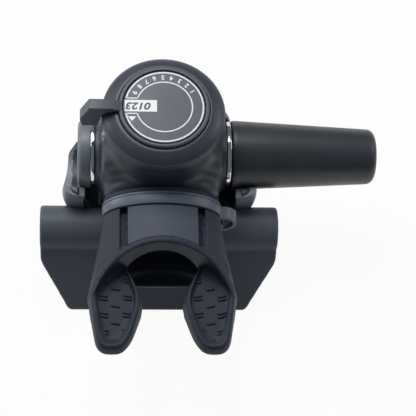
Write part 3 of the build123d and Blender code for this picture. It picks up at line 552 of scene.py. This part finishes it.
def arc_band(r0, r1, from_deg, to_deg, z0, z1):
    """Flat printed arc; angles count from +X towards +Y."""
    points = [(z0, r0), (z0, r1), (z1, r1), (z1, r0)]
    bm = turned(points, turn=radians(to_deg - from_deg), steps=max(4, int((to_deg - from_deg) / 3)))
    bm.transform(Matrix.Rotation(radians(from_deg) + pi, 4, "Z"))
    return bm


def dial_print():
    """White rings with a gap that the flag fills, and a small pointer."""
    z0, z1 = DIAL_Z - 0.05, DIAL_Z + 0.03
    gap_down, gap_up = FLAG_GAP
    parts = []
    for r, width in DIAL_LINES:
        start = -180 + degrees(atan2(-gap_down, r))
        end = 180 - degrees(atan2(gap_up, r))
        parts.append(arc_band(r - width / 2, r + width / 2, start, end, z0, z1))
    outer, inner = DIAL_LINES[0][0], DIAL_LINES[1][0]
    for y in (gap_up, gap_down):
        x0, x1 = -sqrt(outer ** 2 - y * y), -sqrt(inner ** 2 - y * y)
        parts.append(block((x0, x1), (y - 0.2, y + 0.2), (z0, z1)))
    flag = block((-14.1, -2.6), (-2.1, 2.6), (z0, z1))
    pointer = slab([(-12.9, -4.1), (-10.1, -4.1), (-11.5, -6.0)], z0, z1)
    put(joined(*parts, flag, pointer), "dial_print", WHITE_INK, "housing")


def digits(text, place, z0, z1, size, weight):
    """Figures as a thin solid, placed by a matrix; weight thickens their strokes."""
    curve = bpy.data.curves.new("figures", "FONT")
    curve.body = text
    curve.size = size
    curve.offset = weight
    curve.align_x = "CENTER"
    curve.align_y = "CENTER"
    curve.extrude = (z1 - z0) / 2
    carrier = linked("figures", curve)
    bm = evaluated(carrier)
    bpy.data.objects.remove(carrier)
    bm.transform(Matrix.Translation((0, 0, (z0 + z1) / 2)) @ place)
    return cleaned(bm)


def dial_numbers():
    """Scale numbers round the rim, read from the front, and plain figures on the flag."""
    z0, z1 = DIAL_Z - 0.02, DIAL_Z + 0.03
    first, pitch, circle = 32, 15, 12.05
    upright = Matrix.Rotation(pi / 2, 4, "Z")
    numbers = []
    for n in range(9):
        turn = Matrix.Rotation(radians(first + n * pitch), 4, "Z")
        place = turn @ Matrix.Translation((circle, 0, 0)) @ upright
        numbers.append(digits(str(n + 1), place, z0, z1, size=2.5, weight=0.05))
    put(joined(*numbers), "dial_numbers", WHITE_INK, "housing")
    slant = Matrix(((1.15, 0.25, 0, 0), (0, 1, 0, 0), (0, 0, 1, 0), (0, 0, 0, 1)))
    place = Matrix.Translation((-9.4, 0.25, 0)) @ Matrix.Rotation(pi, 4, "Z") @ slant
    figures = digits("0123", place, z0, z1 + 0.04, size=3.9, weight=0.10)
    put(figures, "flag_figures", DARK_INK, "housing")


def lever():
    """Ring with an arm that crosses the cap's shoulder and hangs beside it."""
    low, top, hub = WELL_FLOOR + 0.1, LEVER_HIGH.z - 1.2, 5.2
    inner, web = DIAL_R + 0.35, DIAL_Z - 2.1
    ring = turned([(low, hub), (low, RING_R), (top, RING_R), (top, inner), (web, inner), (web, hub)],
                  {2: 0.6, 3: 0.25})
    put(ring, "lever_ring_top", TRIM_NYLON, "venturi", ["lever_ring"])
    end, bottom, crest, beside = LEVER_LOW.x, LEVER_LOW.z, LEVER_HIGH.z, -TOWER_R - 0.3
    root, root_z, rim_z = -inner - 0.25, top - 1.4, CAP_RIM_Z + 0.3
    upper = [(root, root_z), (root, top), (-RING_R - 2.6, crest), (end + 3.4, crest), (end, crest - 8.0),
             (end + 0.8, bottom)]
    lower = [(end + 6.5, bottom), (beside, SEAM_Z), (beside + 0.4, SEAM_Z + 1.55),
             (beside + 2.2, SEAM_Z + 3.2), (-CAP_RIM_R - 0.6, rim_z), (-RING_R, rim_z), (-RING_R, root_z)]
    arm = slab(upper + lower, -ARM_HALF, ARM_HALF, {3: 0.5, 4: 0.8, 5: 0.8, 6: 0.5})
    arm.transform(Matrix.Rotation(pi / 2, 4, "X"))
    put(arm, "lever_arm", TRIM_NYLON, "venturi", edge=0.5)


# ---- case, tee and cover ------------------------------------------------------
def near_tower(spot):
    """Outside of the case round the corners of tower, barrel and neck."""
    outside = spot.x ** 2 + spot.y ** 2 > (TOWER_R - 1.0) ** 2
    return outside and spot.z > BARREL_Z - 12 and spot.y < 16 and abs(spot.x) < abs(RING_LOW.x)


def on_saddle(spot):
    """Where tower, barrel and neck run into each other, below the seam and between the rings."""
    inside = abs(spot.x) < abs(RING_LOW.x) - 2.5 and BARREL_Z - 8 < spot.z < SEAM_Z - 4
    return near_tower(spot) and inside and spot.y < 0


def case_shell():
    """The case's own form, with filled corners and an even saddle under the tower."""
    bm = softened(cad_copy("case"), voxel=0.58, rounds=2)
    bm = filleted(bm, rounds=45, chosen=near_tower)
    bm = smoothed(bm, rounds=30, chosen=on_saddle)
    put(bm, "case_shell", CASE_NYLON, "housing", ["case"], crease=60)


def drum_flanks():
    """Flanks of the drum, paler with painted light, which swell a little towards the rear and leave the
    barrel's ends free.
    """
    rear, front, r = DRUM_REAR_Y - 0.3, DRUM_SHOULDER_Y, DRUM_R
    foot, hollow, lip = r - 6.0, r - 4.0, front + 3.4
    section = [(rear, foot), (rear, r + 1.9), (rear + 9, r + 2.0), (front, r + 0.4), (lip, r - 3.0),
               (lip, hollow), (rear + 3.6, hollow), (rear + 3.6, foot)]
    free, reach = BARREL_R + BARREL_ROOM, 36
    # start is where a flank's turn begins in degrees, x where the room round the barrel begins
    for name, start, x in (("left_flank", -154, -60), ("right_flank", 79, 24)):
        bm = turned(section, {1: 4.5, 2: 2.0, 3: 1.2}, axis="Y", centre=(0, 0, DRUM_Z),
                    turn=radians(FLANK_TURN), start=radians(start), steps=60)
        barrel = along_barrel([(x, 0), (x, free), (x + reach, free), (x + reach, 0)])
        # the flanks' paler nylon is painted light: it stands in for the side light on them
        put(combined(bm, barrel, "DIFFERENCE"), name, FLANK_NYLON_PAINTED_LIGHT, "housing", edge=0.3)


def soft_copy(node, name, material, body, voxel, rounds):
    """A CAD node's own form with moulded edges."""
    bm = softened(cad_copy(node), voxel, rounds)
    put(bm, name, material, body, [node], crease=60)


def exhaust():
    """Rubber tee with its two side outlets."""
    soft_copy("exhaust_tee", "exhaust_horn", TEE_RUBBER, "housing", voxel=0.5, rounds=12)


def front_cover():
    """Vented cover and the purge button in its middle."""
    soft_copy("cover_ring", "front_cover", TRIM_NYLON, "housing", voxel=0.4, rounds=3)
    soft_copy("purge_button", "purge_cap", TRIM_NYLON, "purge", voxel=0.4, rounds=4)


# ---- springs and diaphragm ----------------------------------------------------
def spring(node, name):
    """Copy of a coil on the housing, with a mesh of its own."""
    coil = put(cad_copy(node), name, STEEL, "housing", [node], crease=50)
    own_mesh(coil)


def springs():
    """Coils under the purge button and behind the poppet."""
    spring("purge_spring", "purge_coil")
    spring("poppet_spring", "poppet_coil")


def membrane():
    """Diaphragm in sectors: each is a wedge of the diaphragm, left without a body."""
    low, high = in_mm(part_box("diaphragm"))
    back, front, reach = low.y - 1, high.y + 1, 2 * high.x
    step = tau / MEMBRANE_SECTORS
    for n in range(MEMBRANE_SECTORS):
        wedge = turned([(back, 0), (back, reach), (front, reach), (front, 0)], axis="Y",
                       centre=(0, 0, DRUM_Z), turn=step, start=tau * n / MEMBRANE_SECTORS, steps=4)
        sector = put(combined(cad_copy("diaphragm"), wedge, "INTERSECT"), f"membrane_{n + 1}",
                     CLEAR_SILICONE, None, ["diaphragm"] if n == 0 else (), crease=50)
        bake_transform(sector)


# ---- mouthpiece ---------------------------------------------------------------
def bite_bar(x, y, side):
    """One raised bar on a bite plate; side mirrors it."""
    bar = block((-BAR_HALF, BAR_HALF), (-BAR_THIN, BAR_THIN), (TROUGH_Z - BAR_RISE, TROUGH_Z + BAR_RISE))
    bmesh.ops.bevel(bar, geom=bar.edges[:], affect="EDGES", offset=0.5, segments=4, profile=0.5, material=-1)
    bar.transform(Matrix.Translation((x, y, 0)) @ Matrix.Rotation(radians(10), 4, "Z"))
    bar.transform(Matrix.Diagonal((side, 1, 1, 1)))
    return cleaned(bar)


def bite_bars():
    """Rows of short raised bars on the bite plates: pairs at the sides, single ones between."""
    bars = []
    pitch, gap, rows = 6.5, 1.25, 4
    inner, middle, outer = 13.0, 16.9, 20.6
    for side in (-1, 1):
        for row in range(rows):
            y = MOUTH_LOW.y + 7.3 + row * pitch
            fan = 0.25 * row
            places = [(inner - fan, y), (inner - fan, y + gap), (outer + fan, y), (outer + fan, y + gap),
                      (middle, y - pitch / 2 + gap / 2)]
            bars += [bite_bar(x, at, side) for x, at in places]
    return joined(*bars)


def neck_panel():
    """Paler matt panel on top of the neck, between its two channels."""
    skin = moved(cad_copy("mouthpiece"), z=0.2)
    low, high = GUARD_Y - 3.5, STRAP_LOW.y - 0.5
    panel = combined(skin, block((-PANEL_HALF, PANEL_HALF), (low, high), NECK_TOP), "INTERSECT")
    free, tall = GUARD_R + 0.6, 90
    guard = turned([(0, 0), (0, free), (tall, free), (tall, 0)])
    return combined(panel, moved(guard, y=GUARD_Y - GUARD_R), "DIFFERENCE")


def channels():
    """Room of the two deep channels beside the panel."""
    low, high = GUARD_Y - 2.0, STRAP_LOW.y + 1
    inner, outer = CHANNEL_X
    sides = [block(x, (low, high), OVER_NECK) for x in ((-outer, -inner), (inner, outer))]
    return combined(joined(*sides), moved(cad_copy("mouthpiece"), z=-CHANNEL_DEPTH), "DIFFERENCE")


def mouthpiece():
    """Soft mouthpiece: the solid's own form with moulded edges, its bite bars and its panel."""
    skin = softened(cad_copy("mouthpiece"), voxel=0.45, rounds=14)
    for reach in range(14, 2, -1):      # the tabs are rounder the nearer they are to the tip
        smoothed(skin, rounds=6, chosen=lambda spot, end=MOUTH_LOW.y + reach: spot.y < end)
    put(combined(skin, channels(), "DIFFERENCE"), "mouth_skin", SILICONE, "housing",
        ["mouthpiece"], crease=60)
    put(bite_bars(), "bite_bars", SILICONE, "housing")
    put(neck_panel(), "neck_panel", PLATE_SILICONE, "housing", edge=0.25)


# ---- strap --------------------------------------------------------------------
def strap_band():
    """Flat strap round the mouthpiece, with a groove near its edge towards the tower, and its tail."""
    y0, y1 = STRAP_LOW.y, STRAP_HIGH.y
    a, b = NECK_A + 0.05, NECK_B + 0.05
    thickness = ((y0, 1.1), (y0 + 0.35, 1.3), (y1 - 1.6, 1.3), (y1 - 1.5, 1.0), (y1 - 1.0, 1.0),
                 (y1 - 0.9, 1.25), (y1 - 0.2, 1.25), (y1, 1.05))
    outer = lofted([(y, a + thick, b + thick, NECK_Z) for y, thick in thickness])
    inner = lofted([(y0 - 1, a, b, NECK_Z), (y1 + 1, a, b, NECK_Z)])
    band = combined(outer, inner, "DIFFERENCE")
    put(band, "strap_band", STRAP_NYLON, "housing", ["strap"], crease=30)
    beside = block((a + 0.3, a + 20), (y0 - 1, y1 + 1), (STRAP_LOW.z, NECK_Z + 2))
    tail = softened(combined(cad_copy("strap"), beside, "INTERSECT"), voxel=0.25, rounds=3)
    put(tail, "strap_tail", STRAP_NYLON, "housing", crease=60)


# ---- room ---------------------------------------------------------------------
def floor_paint():
    """White floor that looks evenly lit and still takes shadows."""
    material = bpy.data.materials.new("white_floor")
    tree = empty_tree(material)
    rays = add_node(tree, "ShaderNodeLightPath")
    seen = add_node(tree, "ShaderNodeMath", {0: rays.outputs["Is Camera Ray"],
                                             1: rays.outputs["Is Glossy Ray"]}, operation="MAXIMUM")
    seen = add_node(tree, "ShaderNodeMath", {0: seen.outputs["Value"],
                                             1: rays.outputs["Is Transmission Ray"]}, operation="MAXIMUM")
    share = add_node(tree, "ShaderNodeMath", {0: seen.outputs["Value"], 1: 0.94}, operation="MULTIPLY")
    paint = add_node(tree, "ShaderNodeBsdfDiffuse", {"Color": colour("#EDEDED")})
    glow = add_node(tree, "ShaderNodeEmission", {"Color": (1, 1, 1, 1), "Strength": 1.0})
    mix = add_node(tree, "ShaderNodeMixShader", {0: share.outputs["Value"], 1: paint.outputs["BSDF"],
                                                 2: glow.outputs["Emission"]})
    add_node(tree, "ShaderNodeOutputMaterial", {"Surface": mix.outputs["Shader"]})
    return material


def white_floor():
    """Wide floor under the object."""
    bm = bmesh.new()
    bmesh.ops.create_grid(bm, x_segments=1, y_segments=1, size=4)
    mesh = as_mesh("floor", bm)
    mesh.materials.append(floor_paint())
    floor = linked("floor", mesh)


def surroundings():
    """Faint cool light from all round."""
    world = bpy.data.worlds.new("studio")
    tree = empty_tree(world)
    glow = add_node(tree, "ShaderNodeBackground", {"Color": colour("#E9EFFA"), "Strength": 0.18})
    add_node(tree, "ShaderNodeOutputWorld", {"Surface": glow.outputs["Background"]})
    bpy.context.scene.world = world


def lamps():
    """Three softboxes; place and size are in metres and power is in watts."""
    softboxes = (
        ("top_softbox", (-0.20, 0.46, 0.84), 0.50, 6.6),
        ("left_softbox", (-0.85, 0.35, 0.35), 0.45, 3.3),
        ("right_softbox", (0.80, 0.25, 0.50), 0.40, 1.7),
    )
    target = Vector((0, 0, 0.04))
    for name, place, size, power in softboxes:
        lamp = bpy.data.lights.new(name, "AREA")
        lamp.shape = "SQUARE"
        lamp.size = size
        lamp.energy = power
        holder = linked(name, lamp)
        holder.location = place
        holder.rotation_euler = (target - Vector(place)).to_track_quat("-Z", "Y").to_euler()


def camera():
    """Looks down on the dial from the diver's side; distances are in millimetres."""
    away, right_of_dial, below_dial, roll = 518, 15.6, 36.2, radians(0.5)
    back = Vector((-0.072, -0.425, 0.900)).normalized()
    side = (Vector((1, 0, 0)) - back * back.x).normalized()
    up = back.cross(side)
    right = side * cos(roll) + up * sin(roll)
    top = up * cos(roll) - side * sin(roll)
    aim = Vector((0, 0, DIAL_Z * MM)) + right * right_of_dial * MM - top * below_dial * MM
    lens = bpy.data.cameras.new("camera")
    lens.lens = 125.5
    lens.sensor_width = 36
    holder = linked("camera", lens)
    turn = Matrix((right, top, back)).transposed().to_4x4()
    holder.matrix_world = Matrix.Translation(aim + back * (away * MM)) @ turn
    bpy.context.scene.camera = holder


camera()
white_floor()
surroundings()
lamps()
dress_cad_nodes()
barrel_plug()
barrel_rings()
bend_sleeve()
tower_cap()
dial_face()
dial_print()
dial_numbers()
lever()
case_shell()
drum_flanks()
exhaust()
front_cover()
springs()
membrane()
mouthpiece()
strap_band()

bpy.context.scene.view_settings.view_transform = "Standard"
